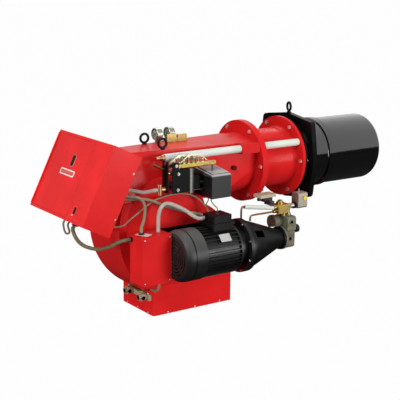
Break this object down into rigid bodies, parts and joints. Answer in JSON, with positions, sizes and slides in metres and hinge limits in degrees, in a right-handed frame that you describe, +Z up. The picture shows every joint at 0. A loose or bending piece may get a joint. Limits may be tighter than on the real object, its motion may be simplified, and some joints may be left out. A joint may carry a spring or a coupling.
{
  "type": "industrial oil burner",
  "caption": "Scroll-fan oil burner with flanged blast tube, tilted control panel, motor-driven oil pump, cam servomotor and pressure gauges.",
  "frame": {"origin": "centre of the boiler flange's mounting face, on the blast tube's axis", "axes": "+X out of the blast tube into the furnace, +Z up, -Y the side with the pump drive"},
  "size_m": [1.981, 1.014, 1.0095],
  "materials": {
    "red_paint": "satin",
    "black_paint": "satin",
    "black_heatproof": "matte, dark inside",
    "motor_paint": "satin",
    "pump_cast": "painted casting",
    "zinc_steel": "zinc plated",
    "bright_steel": "turned",
    "stainless": "heat tinted",
    "fan_steel": "galvanised",
    "brass": "machined",
    "copper": "drawn copper",
    "cast_aluminium": "die cast",
    "coil_housing": "satin",
    "servo_grey": "satin",
    "black_plastic": "satin",
    "pale_paint": "gloss",
    "gauge_case": "polished",
    "conduit_plastic": "matte"
  },
  "bodies": {
    "burner": {"blast_tube": "black_heatproof", "tube_band": "black_heatproof", "diffuser": "stainless", "nozzle_lance": "stainless", "boiler_flange": "black_paint", "head_hub": "black_paint", "head_spool": "red_paint", "outlet_duct": "red_paint", "scroll_housing": "red_paint", "fan_cover": "red_paint", "inlet_duct": "red_paint", "intake_throat": "red_paint", "lifting_eyes": "black_paint", "flange_bolts": "zinc_steel", "fan_motor_frame": "motor_paint", "fan_motor_cowl": "motor_paint", "panel_case": "red_paint", "panel_brackets": "red_paint", "terminal_box": "red_paint", "terminal_feet": "red_paint", "box_screws": "zinc_steel", "cable_glands": "black_plastic", "lug_bracket": "pump_cast", "motor_plate": "black_paint", "motor_frame": "motor_paint", "motor_cowl": "motor_paint", "motor_terminal_box": "motor_paint", "bell_housing": "motor_paint", "drive_bolts": "zinc_steel", "pump_body": "pump_cast", "valve_block": "brass", "steel_unions": "zinc_steel", "pressure_switch": "cast_aluminium", "solenoid_valve": "coil_housing", "oil_pipes": "copper", "supply_pipe": "pale_paint", "brass_fittings": "brass", "servo_body": "black_plastic", "servo_cover": "servo_grey", "cam_plates": "black_paint", "cam_rail": "brass", "cam_strips": "zinc_steel", "cam_screws": "zinc_steel", "servo_strap": "zinc_steel", "gauges": "gauge_case", "gauge_manifold": "brass", "conduits": "conduit_plastic", "leads": "conduit_plastic"},
    "fan": {"fan_wheel": "fan_steel", "fan_motor_rotor": "bright_steel"},
    "pump_drive": {"motor_rotor": "bright_steel"},
    "damper": {"air_damper": "bright_steel"},
    "cam": {"cam_shaft": "zinc_steel"},
    "door": {"panel_door": "red_paint", "panel_window": "black_plastic"},
    "switch_rocker": {"panel_switch": "black_plastic"},
    "pressure_knob": {"pump_knob": "black_plastic"},
    "rear_pointer": {"rear_needle": "black_plastic"},
    "front_pointer": {"front_needle": "black_plastic"}
  },
  "joints": [
    {"name": "fan_spin", "type": "hinge", "parent": "burner", "child": "fan", "pos_m": [-0.9, 0.06, -0.262], "axis": [0, 1, 0], "continuous": true},
    {"name": "pump_spin", "type": "hinge", "parent": "burner", "child": "pump_drive", "pos_m": [-0.7, -0.342, -0.352], "axis": [1, 0, 0], "continuous": true},
    {"name": "cam_turn", "type": "hinge", "parent": "burner", "child": "cam", "pos_m": [-0.83, -0.222, -0.03], "axis": [1, 0, 0], "range_deg": [0, 90]},
    {"name": "damper_turn", "type": "hinge", "parent": "burner", "child": "damper", "pos_m": [-0.494, 0, 0], "axis": [0, 1, 0], "range_deg": [0, 85]},
    {"name": "door_hinge", "type": "hinge", "parent": "burner", "child": "door", "pos_m": [-1.36859, 0.263, 0.02877], "axis": [-0.4415, 0, -0.8973], "range_deg": [0, 105]},
    {"name": "switch_rock", "type": "hinge", "parent": "burner", "child": "switch_rocker", "pos_m": [-1.42162, -0.152, -0.10619], "axis": [0, 1, 0], "range_deg": [0, 16]},
    {"name": "knob_turn", "type": "hinge", "parent": "burner", "child": "pressure_knob", "pos_m": [-0.28, -0.374, -0.306], "axis": [1, 0, 0], "range_deg": [-360, 360]},
    {"name": "rear_pointer_turn", "type": "hinge", "parent": "burner", "child": "rear_pointer", "pos_m": [-0.809, 0.118, 0.166], "axis": [1, 0, 0], "range_deg": [0, 270]},
    {"name": "front_pointer_turn", "type": "hinge", "parent": "burner", "child": "front_pointer", "pos_m": [-0.734, 0.118, 0.166], "axis": [1, 0, 0], "range_deg": [0, 270]}
  ],
  "couplings": [
    {"joint": "damper_turn", "follows": "cam_turn", "ratio": 0.94}
  ]
}
